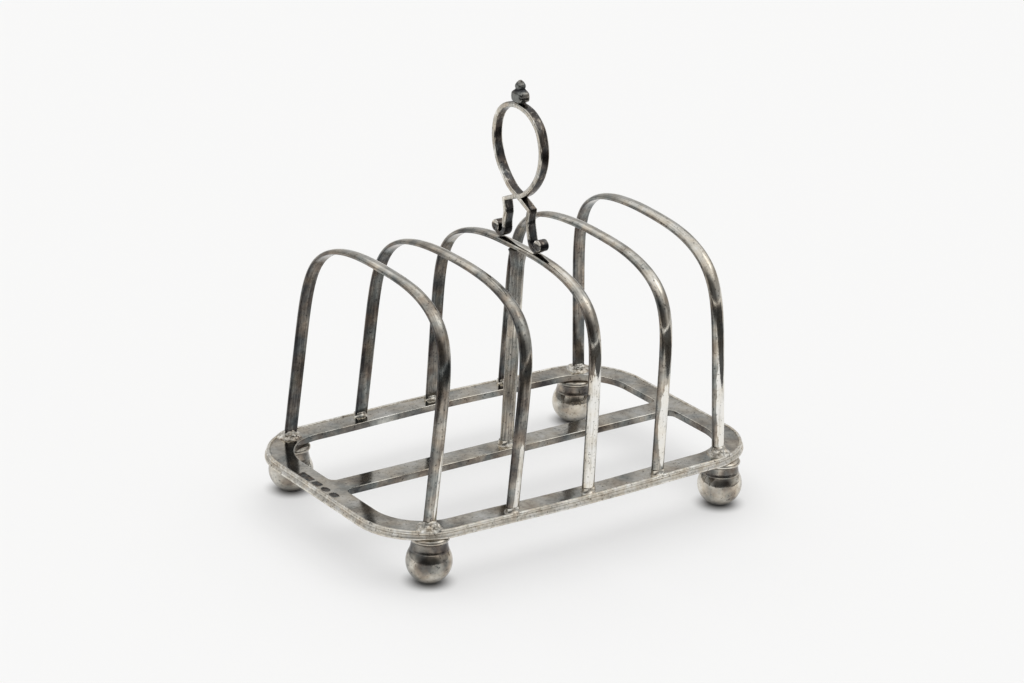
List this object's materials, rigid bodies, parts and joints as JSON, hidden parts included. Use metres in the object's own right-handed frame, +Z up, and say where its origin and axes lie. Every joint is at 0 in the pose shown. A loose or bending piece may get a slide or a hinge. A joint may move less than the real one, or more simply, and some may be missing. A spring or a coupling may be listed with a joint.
{
  "type": "toast rack",
  "caption": "Silver toast rack: arches of D-section wire on a pierced, rimmed base with ball feet, a centre post and an upright crossed-strap loop handle with a finial.",
  "frame": {"origin": "on the table plane, midway between the ball feet, under the middle of the base", "axes": "+Z up; X along the length of the rack, from arch to arch; Y across it, in the plane of the arches"},
  "size_m": [0.1128, 0.0744, 0.1093],
  "materials": {
    "sheet_silver": "worn polished silver with soft grey tarnish",
    "rim_silver": "worn polished silver, dark in the groove",
    "arch_wire": "polished silver wire with brown and grey tarnish",
    "post_silver": "dull tarnished silver",
    "handle_silver": "polished silver, dark in the corners",
    "foot_silver": "polished silver with warm brown tarnish",
    "solder": "bright silver solder, slightly mottled"
  },
  "bodies": {
    "root": {"base_sheet": "sheet_silver", "base_rim": "rim_silver", "arch_1": "arch_wire", "arch_2": "arch_wire", "arch_3": "arch_wire", "arch_4": "arch_wire", "arch_5": "arch_wire", "seat_1_near": "solder", "seat_1_far": "solder", "seat_2_near": "solder", "seat_2_far": "solder", "seat_3_near": "solder", "seat_3_far": "solder", "seat_4_near": "solder", "seat_4_far": "solder", "seat_5_near": "solder", "seat_5_far": "solder", "centre_post": "post_silver", "seat_post": "solder", "handle_loop": "handle_silver", "finial": "handle_silver", "ball_foot_left_near": "foot_silver", "ball_foot_left_far": "foot_silver", "ball_foot_right_near": "foot_silver", "ball_foot_right_far": "foot_silver", "foot_neck_left_near": "foot_silver", "foot_neck_left_far": "foot_silver", "foot_neck_right_near": "foot_silver", "foot_neck_right_far": "foot_silver"}
  },
  "joints": []
}
